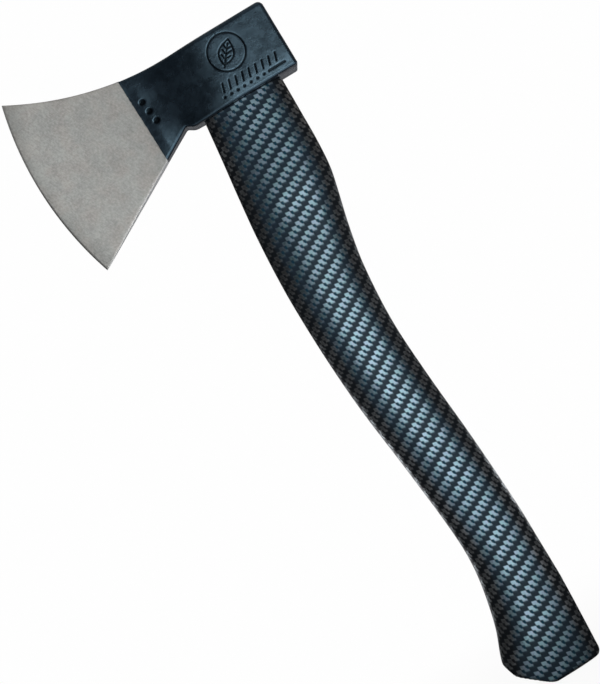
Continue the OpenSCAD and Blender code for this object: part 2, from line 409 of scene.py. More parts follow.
def blade_tarnish(n, spot):
    """A faint tarnish in patches, and in a strip along the top edge."""
    swept = n.math("MAXIMUM", n.minus(SWEEP_X, spot.x), 0.0)
    top = n.plus(n.times(swept, swept, SWEEP_RISE / SWEEP_RUN ** 2), BLOCK_TOP)
    strip = n.band(n.minus(top, spot.above), 7.0, 0.5, 0.0, 0.9)
    patches = n.band(n.noise(spot.at, 0.13, 2.0), 0.35, 0.7)
    return n.math("MAXIMUM", strip, patches)


def blade_painted_glints(n, spot):
    """Painted glints in specks along the beard, and painted light on the faces that look down."""
    specks = n.band(n.noise(spot.at, 3.0, 2.0, 0.6), 0.52, 0.64)
    specks = n.times(specks, n.band(spot.beard_depth, 1.8, 0.4))
    specks = n.times(specks, n.band(spot.x, -50, -60), n.band(spot.x, -90, -80))
    return n.math("MAXIMUM", specks, n.band(spot.upward, -0.3, -0.6, 0.0, 0.8))


def blade_steel(n, spot):
    """Ground steel with fine marks of the belt, running aslant: colour, roughness, height, and where glints
    and light are painted.
    """
    slant = {"Vector": spot.at, "Axis": (0, 1, 0), "Angle": math.radians(28)}
    fine = n.noise(n.stretched(n.add("ShaderNodeVectorRotate", slant), (2.6, 1.0, 0.35)), 1.0, 3.0, 0.6)
    grain = n.noise(spot.at, 0.85, 3.0, 0.65)
    colour = n.mix(blade_tarnish(n, spot), STEEL, STEEL_TARNISHED)
    colour = n.scaled(colour, blade_tone(n, spot, grain, fine))
    glints_and_light = blade_painted_glints(n, spot)
    colour = n.mix(glints_and_light, colour, STEEL_PAINTED_LIGHT)
    rough = n.band(fine, 0.2, 0.8, 0.36, 0.50)
    height = n.plus(n.times(fine, 0.03), n.times(grain, 0.03))
    return colour, rough, height, glints_and_light


def head_material():
    """Paint over forged steel, and the bare ground blade."""
    material, n = new_material("painted_and_ground_steel")
    spot = HeadSpot(n)
    paint, sheen, paint_rough, paint_height = head_paint(n, spot)
    steel, steel_rough, steel_height, glints_and_light = blade_steel(n, spot)

    # the paint ends along a wavering line, and reaches 14 mm further on the blade's narrow top
    wander = n.times(n.minus(n.noise(spot.at, 0.6, 2.0), 0.5), 0.5)
    line_x = n.math("MULTIPLY_ADD", spot.above, -0.02, GRIND_X + 0.3)
    line_x = n.plus(line_x, n.band(spot.upward, 0.4, 0.8, 0.0, -14.0))
    bare = n.band(n.minus(n.plus(line_x, wander), spot.x), -0.15, 0.15)

    def choose(a, b):
        return n.math("MULTIPLY_ADD", bare, n.minus(b, a), a)

    n.surface(
        Base_Color=n.mix(bare, paint, steel),
        # less metallic where glints and light are painted
        Metallic=n.times(bare, n.math("MULTIPLY_ADD", glints_and_light, -0.5, 0.6)),
        Roughness=choose(paint_rough, steel_rough),
        Specular_IOR_Level=choose(sheen, 0.5),
        Specular_Tint=n.mix(bare, (0.50, 0.80, 1.0), WHITE),
        IOR=1.5,
        Normal=n.bump(choose(paint_height, steel_height), 0.6))
    return material


def weave_group():
    """One cell of the printed weave, from the offset to its middle in millimetres.

    Two thread floats, one up and to the left, one down and to the right, with a dark gap beside each.
    """
    tree = bpy.data.node_groups.new("weave_cell", "ShaderNodeTree")
    tree.interface.new_socket("Offset", in_out="INPUT", socket_type="NodeSocketVector")
    for name in ("Thread", "Gap", "Shade"):
        tree.interface.new_socket(name, in_out="OUTPUT", socket_type="NodeSocketFloat")
    n = Nodes(tree)
    offset = n.add("NodeGroupInput")
    x, z, _ = n.split(offset)

    def block(cx, cz, half_w, half_h, soft):
        """A soft-edged block whose top and bottom fall away to the right."""
        dx = n.minus(x, cx)
        dz = n.plus(n.minus(z, cz), n.times(dx, 0.2))
        side = n.band(n.math("ABSOLUTE", dx), half_w + soft, half_w - soft)
        level = n.band(n.math("ABSOLUTE", dz), half_h + soft, half_h - soft)
        return n.times(side, level)

    def oval(cx, cz, half_w, half_h):
        dx = n.math("DIVIDE", n.minus(x, cx), half_w)
        dz = n.math("DIVIDE", n.minus(z, cz), half_h)
        reach = n.plus(n.times(dx, dx), n.times(dz, dz))
        return n.band(reach, 1.4, 0.6)

    upper = block(-0.60, 0.82, 1.18, 0.96, 0.20)
    lower = block(0.57, -0.76, 1.14, 0.90, 0.24)
    lower = n.times(lower, n.band(z, -1.9, -0.5, 0.55, 1.0))
    gap = n.math("MAXIMUM", oval(1.47, 0.18, 0.62, 1.00), oval(-1.23, -1.15, 0.62, 1.00))
    shade = block(0.65, -1.8, 1.05, 0.55, 0.45)
    out = tree.nodes.new("NodeGroupOutput")
    for name, value in (("Thread", n.math("MAXIMUM", upper, lower)), ("Gap", gap), ("Shade", shade)):
        n.feed(out.inputs[name], value)
    return tree


def weave_here(n):
    """Thread, gap and shade of the weave at the point: its own cell's and both neighbours'."""
    group = weave_group()
    u, v, _ = n.split(n.add("ShaderNodeUVMap", uv_map="weave"))
    a, b = (n.minus(n.math("FRACT", value), 0.5) for value in (u, v))
    layers = None
    for step in (-1.0, 0.0, 1.0):
        moved = n.plus(b, step)
        px, pz = (n.math("MULTIPLY_ADD", a, side, n.times(moved, other))
                  for side, other in zip(WEAVE_ALONG, WEAVE_ASLANT))
        cell = n.tree.nodes.new("ShaderNodeGroup")
        cell.node_tree = group
        n.feed(cell.inputs[0], n.combine(px, pz, 0.0))
        if layers is None:
            layers = cell.outputs
        else:
            layers = [n.math("MAXIMUM", old, new) for old, new in zip(layers, cell.outputs)]
    thread, gap, shade = layers
    return n.times(thread, n.minus(1.0, gap)), gap, shade


def print_material():
    """The carbon-look print on the haft: bright thread floats over near-black, under a clear coat."""
    material, n = new_material("carbon_look_print")
    thread, gap, shade = weave_here(n)
    at = n.millimetres()
    speck = n.noise(at, 1.3, 2.0)
    # painted sheen: the film shows blue only where it faces front or back, and is made greyer and darker
    # where it turns away round the sides
    _, sideways, _ = n.normal()
    sheen_turned_away = n.band(n.math("ABSOLUTE", sideways), 0.97, 0.82)

    # the threads waver in hue; painted shade makes them duller over the upper grip, and painted light
    # brighter close to the head
    hue = n.band(n.noise(at, 0.33, 1.0), 0.3, 0.7)
    bright = n.mix(hue, (0.096, 0.160, 0.180), (0.112, 0.153, 0.193))
    bright = n.mix(sheen_turned_away, bright, (0.148, 0.156, 0.160))
    below_head = n.minus(UNDERSIDE, n.split(at)[2])
    grip_light_and_shade = n.times(n.band(below_head, 130, 65, 1.0, 0.80), n.band(below_head, 55, 20, 1.0, 1.30))
    patch = n.band(n.noise(at, 0.06, 2.0), 0.3, 0.7, 0.88, 1.12)
    bright = n.scaled(bright, n.times(grip_light_and_shade, patch))

    ground = n.mix(shade, (0.0110, 0.0178, 0.0252), (0.018, 0.0295, 0.042))
    ground = n.mix(gap, ground, (0.006, 0.026, 0.042))
    ground = n.mix(sheen_turned_away, ground, (0.0065, 0.0080, 0.0095))
    colour = n.scaled(n.mix(thread, ground, bright), n.band(speck, 0.25, 0.75, 0.90, 1.10))
    height = n.plus(n.times(thread, 0.02), n.times(speck, 0.02))
    n.surface(
        Base_Color=colour,
        Metallic=n.times(thread, 0.9),
        Specular_IOR_Level=n.band(thread, 0.0, 1.0, 0.05, 0.5, smooth_step=False),
        Specular_Tint=n.mix(n.math("MAXIMUM", thread, sheen_turned_away), (0.45, 0.85, 1.0), (0.95, 1.0, 1.0)),
        Roughness=n.band(speck, 0.2, 0.8, 0.27, 0.35),
        Coat_Weight=0.04,
        Coat_Roughness=0.20,
        Normal=n.bump(height, 0.5))
    return material


def wood_material(name, pale, dark, pith):
    """Wood cut across the grain: growth rings about the pith, pores and saw marks."""
    material, n = new_material(name)
    at = n.millimetres()
    x, y, _ = n.split(at)
    ring_width = 2.3
    waver = n.times(n.noise(at, 0.07, 3.0), 7.0)
    reach = n.length(n.combine(n.minus(x, pith[0]), n.minus(y, pith[1]), 0.0))
    ring = n.math("FRACT", n.math("DIVIDE", n.plus(reach, waver), ring_width))
    late = n.times(n.band(ring, 0.25, 0.92), n.band(ring, 1.0, 0.93))
    pores = n.noise(at, 3.2, 3.0, 0.7)
    patch = n.noise(at, 0.25, 2.0)
    saw = n.noise(n.stretched(at, (0.35, 3.0, 1.0)), 1.0, 2.0)
    colour = n.mix(late, pale, dark)
    colour = n.scaled(colour, n.band(pores, 0.30, 0.5, 0.72, 1.03))
    colour = n.scaled(colour, n.band(patch, 0.3, 0.7, 0.88, 1.08))
    height = n.plus(n.times(pores, 0.12), n.times(saw, 0.10))
    n.surface(
        Base_Color=colour,
        Roughness=n.band(pores, 0.2, 0.8, 0.85, 0.6),
        Normal=n.bump(height, 0.8))
    return material


def wedge_steel_material():
    """Mild steel, dulled by hammer blows."""
    material, n = new_material("hammered_steel")
    at = n.millimetres()
    dents = n.add("ShaderNodeTexVoronoi", {"Vector": at, "Scale": 0.55}, feature="SMOOTH_F1")
    fine = n.noise(at, 2.4, 3.0, 0.6)
    tone = n.plus(n.band(fine, 0.25, 0.75, 0.82, 1.1), n.band(dents, 0.1, 0.7, 0.05, -0.08))
    height = n.plus(n.times(dents, 0.25), n.times(fine, 0.05))
    n.surface(
        Base_Color=n.scaled(n.combine(0.46, 0.45, 0.43), tone),
        Metallic=1.0,
        Roughness=n.band(fine, 0.2, 0.8, 0.30, 0.48),
        Normal=n.bump(height, 0.6))
    return material


# ---- Head -----------------------------------------------------------------------------------

FRONT_ROWS = 100                            # rows of the cheek, underside to top
CORNER_STEPS = 6                            # points round each rounded edge

# Marks on the front cheek
RING_AT = np.array([4.5, 22.4])
RING_R = 9.4
LEAF_LEAN = math.radians(-38)
DOTS_Z = 3.9
MARK_STEP = 3.7                             # from bar to bar, and from dot to dot


def edge_centre():
    """Centre of the arc that the cutting edge follows."""
    chord = HEEL - TOE
    length = np.linalg.norm(chord)
    middle = (TOE + HEEL) / 2
    across = np.array([-chord[1], chord[0]]) / length
    return middle + across * math.sqrt(EDGE_R ** 2 - length ** 2 / 4)


EDGE_CENTRE = edge_centre()


def corner_drop(x, radius):
    """How far a rounded corner of the poll draws a face in at x."""
    past = np.clip(x - (POLL_X - radius), 0, radius)
    return radius - np.sqrt(radius ** 2 - past ** 2)


def top_z(x):
    """Top outline: level over the eye, then an arc up to the toe."""
    radius = (SWEEP_RUN ** 2 + SWEEP_RISE ** 2) / (2 * SWEEP_RISE)
    past = np.clip(SWEEP_X - x, 0, None)
    return BLOCK_TOP + radius - np.sqrt(radius ** 2 - past ** 2) - corner_drop(x, POLL_CORNER_R)


def foot_z(x):
    """Bottom outline: straight beard, notch, lug and level underside."""
    beard = HEEL[1] + (x - HEEL[0]) * (NOTCH[1] - HEEL[1]) / (NOTCH[0] - HEEL[0])
    fall = NOTCH[1] + (x - NOTCH[0]) * (LUG[1] - NOTCH[1]) / (LUG[0] - NOTCH[0])
    return soft_min(beard, soft_max(fall, 0.0 * x, 1.0), 0.9) + corner_drop(x, POLL_FOOT_R)


def flank_half_t(x):
    """Half thickness: the blade's taper, a soft shoulder and flat cheeks."""
    front = EDGE_CENTRE[0] - EDGE_R
    taper = (GRIND_HALF_T - FLANK_HALF_T) / (GRIND_X - front)
    flank = FLANK_HALF_T + taper * (x - front)
    share = ease(NECK_X, SHOULDER_X, x)
    flank = flank + GRIND_LIP * ease(GRIND_X - 1, GRIND_X + 6, x)
    return flank * (1 - share) + BLOCK_HALF_T * share - corner_drop(x, BLOCK_ROUND)


def half_t(x, z):
    """Half thickness with the rolled edge and the fine bevel at its very end."""
    inside = EDGE_R - np.hypot(x - EDGE_CENTRE[0], z - EDGE_CENTRE[1])
    rolled = ROLLED_HALF_T + ROLLED_SLOPE * inside
    bevel = EDGE_HALF_T + BEVEL_SLOPE * inside
    return np.minimum(np.maximum(bevel, EDGE_HALF_T), soft_min(flank_half_t(x), rolled, 0.5))


def edge_round(x):
    """Rounding of the outline's edges: full at the block, softer at the neck, crisp where ground."""
    painted = NECK_ROUND + (BLOCK_ROUND - NECK_ROUND) * ease(NECK_X, SHOULDER_X, x)
    painted = painted - corner_drop(x, BLOCK_ROUND)
    bare = ease(GRIND_X + 0.6, GRIND_X - 0.6, x)
    return painted * (1 - bare) + GROUND_ROUND * bare


def segment_distance(x, z, a, b):
    """Distance from points to the straight line from a to b."""
    ax, az = a
    dx, dz = b[0] - ax, b[1] - az
    t = np.clip(((x - ax) * dx + (z - az) * dz) / (dx * dx + dz * dz), 0, 1)
    return np.hypot(x - ax - t * dx, z - az - t * dz)


def leaf_strokes():
    """A plain leaf: outline, midrib and side veins, as line segments about (0, 0), pointing up."""
    length, half_w = 12.6, 3.7
    t = np.linspace(0, 1, 15)
    side = np.stack([half_w * np.sin(np.pi * t ** 0.85), length * (t - 0.5)], 1)
    strokes = []
    for mirror in (1, -1):
        rim = side * [mirror, 1]
        strokes += list(zip(rim[:-1], rim[1:]))
        for rise in (-3.4, -0.9, 1.6):
            strokes.append((np.array([0, rise]), np.array([mirror * 2.3, rise + 1.9])))
    strokes.append((np.array([0, -7.4]), np.array([0, 4.4])))
    return strokes


def sunk(distance, depth, flat, edge):
    """Depth of a mark at a distance from its middle: full up to flat, none from edge on."""
    return depth * (1 - ease(flat, edge, distance))


def mark_depth(x, z):
    """Depth of the plain marks struck into the front cheek."""
    # a leaf in a ring
    line = np.abs(np.hypot(x - RING_AT[0], z - RING_AT[1]) - RING_R)
    turn = np.array([
        [math.cos(LEAF_LEAN), -math.sin(LEAF_LEAN)],
        [math.sin(LEAF_LEAN), math.cos(LEAF_LEAN)]])
    for a, b in leaf_strokes():
        line = np.minimum(line, segment_distance(x, z, turn @ a + RING_AT, turn @ b + RING_AT))
    # nine slanting bars
    for i in range(9):
        foot, top = (-6.5 + MARK_STEP * i, 6.2), (-5.2 + MARK_STEP * i, 10.4)
        line = np.minimum(line, segment_distance(x, z, foot, top))
    depth = sunk(line, 0.28, 0.16, 0.48)
    # seven dots and a slot beside them
    slot = segment_distance(x, z, (17.6, DOTS_Z), (26.2, DOTS_Z))
    depth = np.maximum(depth, sunk(slot, 0.30, 0.35, 0.75))
    for i in range(7):
        dot = np.hypot(x - (-7.5 + MARK_STEP * i), z - DOTS_Z)
        depth = np.maximum(depth, sunk(dot, 0.22, 0.45, 0.9))
    # three punch marks along the end of the paint
    for i in range(3):
        punch = np.hypot(x - (-42.9 + 0.75 * i), z - (23.6 - 5.6 * i))
        depth = np.maximum(depth, sunk(punch, 0.45, 1.1, 1.9))
    return depth


def head_ring(top_x):
    """A closed section of the head with its upper end at top_x, and how deep its points are struck."""
    past = max(0.0, SWEEP_X - top_x)
    share = past / SWEEP_RUN
    foot_x = top_x if past == 0 else SWEEP_X - share * (SWEEP_X - HEEL[0])
    foot = np.array([foot_x, float(foot_z(np.float64(foot_x)))])
    top = np.array([top_x, float(top_z(np.float64(top_x)))])
    height = np.linalg.norm(top - foot)
    up = (top - foot) / height

    def at(distance):
        """Point at a distance up this section, which bulges forward to the edge's arc."""
        t = np.asarray(distance) / height
        straight = foot + np.outer(distance, up)
        half_chord = np.linalg.norm(TOE - HEEL) / 2
        along = (2 * t - 1) * half_chord
        sagitta = np.sqrt(EDGE_R ** 2 - along ** 2) - math.sqrt(EDGE_R ** 2 - half_chord ** 2)
        forward = np.array([-up[1], up[0]])
        return straight + np.outer(sagitta * share ** 2, forward)

    def rounding(point, largest):
        limit = min(largest, 0.85 * float(half_t(point[0], point[1])))
        return max(0.02, min(float(edge_round(np.float64(point[0]))), limit))

    low_r, high_r = rounding(at([0.0])[0], FOOT_ROUND), rounding(at([height])[0], BLOCK_ROUND)
    corner = np.linspace(0, math.pi / 2, CORNER_STEPS)
    low_rise, low_in = low_r * (1 - np.sin(corner[::-1])), low_r * (1 - np.cos(corner[::-1]))
    rows = np.linspace(low_r, height - high_r, FRONT_ROWS + 2)[1:-1]
    distance = np.concatenate([low_rise, rows, height - high_r * (1 - np.sin(corner))])
    drop = np.concatenate([low_in, 0 * rows, high_r * (1 - np.cos(corner))])
    points = at(distance)
    x, z = points[:, 0], points[:, 1]
    draft = FOOT_DRAFT * (1 - ease(0, FOOT_DRAFT_H, distance)) * ease(GRIND_X, GRIND_X + 4, x)
    thick = half_t(x, z) - drop - draft
    struck = mark_depth(x, z)
    near = np.stack([x, -(thick - struck), z], 1)
    far = np.stack([x, thick, z], 1)[::-1]
    return np.concatenate([near, far]), np.concatenate([struck, 0 * x])


def eye_outline(grow, count=96):
    """The eye's oval, grown by grow, from the middle of its front side towards the poll."""
    radius = EYE_END_R + grow
    straight, bend = EYE_HALF_L, math.pi * radius
    total = 4 * straight + 2 * bend
    points = []
    for s in np.arange(count) / count * total:
        if s < straight:
            points.append((s, -radius))
        elif s < straight + bend:
            a = (s - straight) / radius - math.pi / 2
            points.append((straight + radius * math.cos(a), radius * math.sin(a)))
        elif s < 3 * straight + bend:
            points.append((2 * straight + bend - s, radius))
        elif s < 3 * straight + 2 * bend:
            a = (s - 3 * straight - bend) / radius + math.pi / 2
            points.append((-straight + radius * math.cos(a), radius * math.sin(a)))
        else:
            points.append((s - total, -radius))
    return np.array(points)


def eye_grow(z):
    """How much wider the eye is at height z than at the underside, on each side."""
    return EYE_FLARE * np.clip((z - EYE_STRAIGHT_H) / (BLOCK_TOP - EYE_STRAIGHT_H), 0, 1)


def eye_cutter():
    """The eye, with a chamfer at its foot and a finer one at its top."""
    chamfer = 0.5
    levels = [(-1.0, chamfer + 1.0), (chamfer, 0.0), (EYE_STRAIGHT_H, 0.0)]
    levels += [(BLOCK_TOP - 0.3, eye_grow(BLOCK_TOP - 0.3)), (BLOCK_TOP + 1.0, EYE_FLARE + 1.3)]
    rings = []
    for z, grow in levels:
        outline = eye_outline(grow)
        rings.append(np.column_stack([outline, np.full(len(outline), z)]))
    faces = skin_faces(len(rings), len(rings[0]))
    return mesh_object("eye_cutter", np.concatenate(rings), faces)


def make_head():
    """Sections from the cutting edge to the poll, with the eye cut through them."""
    stations = spaced(
        (TOE[0], TOE[0] + 7, 0.3), (TOE[0] + 7, -52, 1.5), (-52, -34, 0.5), (-34, -16, 0.4),
        (-16, POLL_X - POLL_CORNER_R, 0.3))
    poll = POLL_X - POLL_CORNER_R * (1 - np.sin(np.linspace(0, math.pi / 2, 13)[1:]))
    rings, struck = zip(*(head_ring(x) for x in np.concatenate([stations, poll])))
    faces = skin_faces(len(rings), len(rings[0]), "across")
    head = mesh_object("head_forged", np.concatenate(rings), faces)
    layer = head.data.attributes.new("struck", "FLOAT", "POINT")
    layer.data.foreach_set("value", np.concatenate(struck))
    turn_outwards(head)
    cut(head, eye_cutter())
    smooth(head, 36)
    head.data.materials.clear()
    head.data.materials.append(head_material())
    place(head, "head")


# ---- Haft -----------------------------------------------------------------------------------

# Height, belly (towards the edge), back (towards the poll), half thickness
HAFT_STATIONS = np.array([
    [-360, -49, 12.6, 14.0],
    [-302, -34.0, 12.6, 14.0],
    [-285, -27.7, 12.7, 13.4],
    [-260, -22.4, 12.7, 12.5],
    [-240, -21.5, 12.6, 12.0],
    [-200, -24.9, 10.7, 12.5],
    [-160, -29.2, 7.8, 12.5],
    [-130, -30.9, 6.7, 12.5],
    [-100, -31.3, 8.9, 12.5],
    [-80, -30.6, 12.6, 12.2],
    [-60, -29.1, 17.6, 12.0],
    [-50, -28, 19.8, 12.1],
    [-36, -26.3, 21, 11.8],
    [-20, -24.2, 21.4, 11.3],
    [0, -21.8, 21.8, 11.0]])
HAFT_SQUARENESS = 2.3
HAFT_SIDES = 96

# Weave cells a millimetre on the front of the haft: across and up, for each of the two rows
WEAVE_AT_POMMEL = (-0.0560, 0.1317, 0.2675, 0.2193)
WEAVE_AT_WAIST = (-0.0771, 0.1318, 0.2917, 0.2369)
WEAVE_AT_HEAD = (-0.0679, 0.1423, 0.2525, 0.2256)
WEAVE_STATIONS = np.array([
    [-330, *WEAVE_AT_POMMEL],
    [-280, *WEAVE_AT_POMMEL],
    [-137, *WEAVE_AT_WAIST],
    [-50, *WEAVE_AT_HEAD],
    [10, *WEAVE_AT_HEAD]])

# Points (x, z) on the pommel's outline: a slant and a tip in front, a back that opens out above its bend
SLANT_TOP = (-60.0, -234.0)
SLANT_FOOT = (-31.9, -310.2)
TIP_FOOT = (-16.6, -321.7)
BACK_FOOT = (10.2, -321.7)
BACK_BEND = (12.7, -282.0)
BACK_TOP = (60.0, -200.0)

FOOT_SHARES = (0.02, 0.2, 0.4, 0.6, 0.8, 0.93)      # rings over the pommel's end, as shares of its rim
FOOT_WEAVE = np.array([1.82, 3.08])                 # weave cells from that rim to the end's middle
CAP_SHARES = (0.75, 0.5, 0.25, 0.02)                # rings over the tongue's end


def along(rows, z):
    """A smooth curve through rows of stations, read at height z."""
    i = int(np.clip(np.searchsorted(rows[:, 0], z) - 1, 0, len(rows) - 2))

    def tangent(k):
        a, b = max(k - 1, 0), min(k + 1, len(rows) - 1)
        return (rows[b] - rows[a]) / (rows[b, 0] - rows[a, 0])

    a, b = rows[i], rows[i + 1]
    h = b[0] - a[0]
    t = (z - a[0]) / h
    return (a * (1 - 3 * t ** 2 + 2 * t ** 3) + b * (3 * t ** 2 - 2 * t ** 3)
            + tangent(i) * h * (t - 2 * t ** 2 + t ** 3) + tangent(i + 1) * h * (t ** 3 - t ** 2))


def line_x(z, low, high):
    """x at height z on the straight line through two (x, z) points."""
    return low[0] + (z - low[1]) * (high[0] - low[0]) / (high[1] - low[1])


def round_in(rise, radius):
    """How far a quarter circle draws a side in at a rise above its foot."""
    return radius * (1 - math.sqrt(1 - max(0.0, 1 - rise / radius) ** 2))


def pommel_limits(z):
    """Lowest and highest x that the pommel's cuts leave at height z."""
    slant, tip = line_x(z, SLANT_FOOT, SLANT_TOP), line_x(z, TIP_FOOT, SLANT_FOOT)
    front = float(soft_max(np.float64(slant), np.float64(tip), 1.2))
    back = line_x(z, BACK_BEND, BACK_TOP) if z > BACK_BEND[1] else line_x(z, BACK_FOOT, BACK_BEND)
    # both lower corners are rounded, the front one into the slope of the tip
    rise = z - HAFT_FOOT
    front += 1.1 * max(0.0, 1 - rise / 2.6) ** 2
    back -= round_in(rise, 3.2)
    return front, back


def haft_ring(z):
    """The haft at height z: even points from the front's middle towards the poll, girth and middle."""
    _, belly, back, half = along(HAFT_STATIONS, z)
    middle, reach = (belly + back) / 2, (back - belly) / 2
    foot_round, shoulder_round = 2.2, 0.6
    rise, below = z - HAFT_FOOT, -z
    shrink = round_in(rise, foot_round) + round_in(below, shoulder_round)
    angle = np.linspace(-math.pi / 2, 1.5 * math.pi, 961)       # far finer than the ring itself
    power = 2 / HAFT_SQUARENESS
    x = middle + reach * np.sign(np.cos(angle)) * np.abs(np.cos(angle)) ** power
    y = (half - shrink) * np.sign(np.sin(angle)) * np.abs(np.sin(angle)) ** power
    if below < shoulder_round:
        x = middle + (x - middle) * (1 - shrink / reach)
    front_limit, back_limit = pommel_limits(z)
    x = soft_min(soft_max(x, front_limit, 0.8), back_limit, 0.6)
    length = np.concatenate([[0], np.cumsum(np.hypot(np.diff(x), np.diff(y)))])
    even = np.arange(HAFT_SIDES) / HAFT_SIDES * length[-1]
    ring = np.stack([np.interp(even, length, x), np.interp(even, length, y)], 1)
    return ring, length[-1], middle


def tongue_rings():
    """The tongue from the shoulder to its chamfered top, inside the eye."""
    chamfer = 0.25
    rings = []
    for z in (0.0, 4.0, 8.0, EYE_STRAIGHT_H, 18.0, 24.0, 30.0, 34.6, TONGUE_TOP - chamfer, TONGUE_TOP):
        grow = float(eye_grow(z)) - FIT_GAP - (chamfer if z == TONGUE_TOP else 0)
        outline = eye_outline(grow, HAFT_SIDES)
        rings.append(np.column_stack([outline, np.full(HAFT_SIDES, z)]))
    return rings


def shrunk(ring, share):
    """The ring drawn in towards its middle."""
    middle = ring.mean(0)
    return middle + (ring - middle) * share


def weave_phases(heights, rings):
    """Weave coordinates for each ring, with one more column than points, so that the print closes."""
    u = np.arange(HAFT_SIDES + 1) / HAFT_SIDES
    centred = np.where(u <= 0.5, u, u - 1)
    phases, up_phase, last = [], np.zeros(2), None
    for z, (_, girth, middle) in zip(heights, rings):
        _, ax, az, bx, bz = along(WEAVE_STATIONS, z)
        if last is not None:
            up_phase = up_phase + np.array([az, bz]) * (z - last[0])
            up_phase = up_phase + np.array([ax, bx]) * (middle - last[1])
        last = (z, middle)
        row = []
        for turns, slope, start in zip((-PRINT_TURNS[0], PRINT_TURNS[1]), (ax, bx), up_phase):
            stretch = slope * girth / turns - 1
            row.append(start + turns * (u + stretch * np.sin(2 * math.pi * centred) / (2 * math.pi)))
        phases.append(np.stack(row, 1))
    return phases


def haft_cutters():
    """Saw kerf with the wooden wedge's seat, and the slots of the steel wedges."""
    reach = 30.0
    side = [(KERF_HALF_W, KERF_FOOT), (KERF_HALF_W, WOOD_WEDGE_FOOT),
            (WOOD_WEDGE_HALF_T, TONGUE_TOP), (WOOD_WEDGE_HALF_T, TONGUE_TOP + 2)]
    outline = side + [(-y, z) for y, z in reversed(side)]
    rings = [np.array([(x, y, z) for y, z in outline]) for x in (-reach, reach)]
    faces = skin_faces(2, len(outline))
    return [mesh_object("kerf_cutter", np.concatenate(rings), faces), *wedge_slots()]


def lay_print(haft, table):
    """Gives each face its weave coordinates; faces that close a ring use the table's last column."""
    layer = haft.data.uv_layers.new(name="weave")
    loops = haft.data.loops
    for polygon in haft.data.polygons:
        columns = [loops[k].vertex_index % HAFT_SIDES for k in polygon.loop_indices]
        closes = 0 in columns and HAFT_SIDES - 1 in columns
        for k in polygon.loop_indices:
            ring, column = divmod(loops[k].vertex_index, HAFT_SIDES)
            if closes and column == 0:
                column = HAFT_SIDES
            layer.data[k].uv = table[ring][column]


def make_haft():
    """Rings from the pommel up to the end of the tongue, with the kerf and the slots cut in."""
    heights = spaced((HAFT_FOOT, HAFT_FOOT + 5, 0.35), (HAFT_FOOT + 5, -1.2, 1.35), (-1.2, 0, 0.15))
    body = [haft_ring(z) for z in heights]
    points = [np.column_stack([ring, np.full(HAFT_SIDES, z)]) for z, (ring, _, _) in zip(heights, body)]
    phases = weave_phases(heights, body)
    foot = [shrunk(points[0], share) for share in FOOT_SHARES]
    tongue = tongue_rings()
    shoulder = [points[-1] * (1 - t) + tongue[0] * t for t in (0.3, 0.65)]
    cap = [shrunk(tongue[-1], share) for share in CAP_SHARES]
    rings = foot + points + shoulder + tongue + cap
    faces = skin_faces(len(rings), HAFT_SIDES)
    haft = mesh_object("haft_turned", np.concatenate(rings), faces)

    # the print runs on from the sides over the flat foot, and stops at the shoulder
    drawn = [phases[0] - FOOT_WEAVE * (1 - share) for share in FOOT_SHARES]
    above_print = len(shoulder) + len(tongue) + len(cap)
    lay_print(haft, drawn + phases + [phases[-1]] * above_print)
    turn_outwards(haft)
    haft.data.materials.append(print_material())
    end_grain = wood_material("haft_end_grain", (0.54, 0.37, 0.21), (0.40, 0.25, 0.13), pith=(14, -46))
    haft.data.materials.append(end_grain)
    top_of_print = (UNDERSIDE + 0.01) / 1000
    for polygon in haft.data.polygons:
        polygon.material_index = 1 if polygon.center.z > top_of_print else 0
    cut(haft, *haft_cutters())
    smooth(haft, 40)
    place(haft, "haft")


# ---- Wedges ---------------------------------------------------------------------------------

def steel_wedge_mesh(name, side, grow):
    """A steel cross wedge with stepped barbs and softened corners, grown by grow all round."""
    barbs, barb, tip_half_t, top_half_t = 3, 0.25, 0.3, 1.2
    foot = TONGUE_TOP - STEEL_WEDGE_DEPTH
    profile = [(tip_half_t * 0.6, foot - grow)]
    for i in range(barbs):
        start, end = i / barbs, (i + 1) / barbs
        width = tip_half_t + (top_half_t - tip_half_t) * start
        profile.append((width, foot + 0.15 + STEEL_WEDGE_DEPTH * start))
        width = tip_half_t + (top_half_t - tip_half_t) * end + barb
        profile.append((width, foot + STEEL_WEDGE_DEPTH * (i + 0.92) / barbs))
    top = TONGUE_TOP + (1.0 if grow else 0.0)
    profile.append((top_half_t, top - (0 if grow else 0.2)))
    if not grow:
        profile.append((top_half_t - 0.2, top))
    rings = []
    steps = np.linspace(0, math.pi / 2, 4)
    for half_x, z in profile:
        soft = min(0.25, half_x * 0.6)
        half_x, half_y = half_x + grow, STEEL_WEDGE_HALF_W + grow
        if not grow and z == top:
            half_y -= 0.2
        ring = []
        for sx, sy, start in ((1, 1, 0), (-1, 1, 1), (-1, -1, 2), (1, -1, 3)):
            for a in steps + start * math.pi / 2:
                ring.append((
                    side * STEEL_WEDGE_X + sx * (half_x - soft) + soft * math.cos(a),
                    sy * (half_y - soft) + soft * math.sin(a), z))
        rings.append(np.array(ring))
    faces = skin_faces(len(rings), len(rings[0]))
    return mesh_object(name, np.concatenate(rings), faces)


def wedge_slots():
    """Cutters for the slots that the steel wedges sit in."""
    return [steel_wedge_mesh("slot_cutter", side, FIT_GAP) for side in (-1, 1)]


def make_steel_wedges():
    material = wedge_steel_material()
    for name, node, side in (
            ("wedge_steel_front", "steel_wedge_front", -1), ("wedge_steel_rear", "steel_wedge_rear", 1)):
        wedge = steel_wedge_mesh(name, side, 0.0)
        turn_outwards(wedge)
        smooth(wedge, 35)
        wedge.data.materials.append(material)
        place(wedge, node)


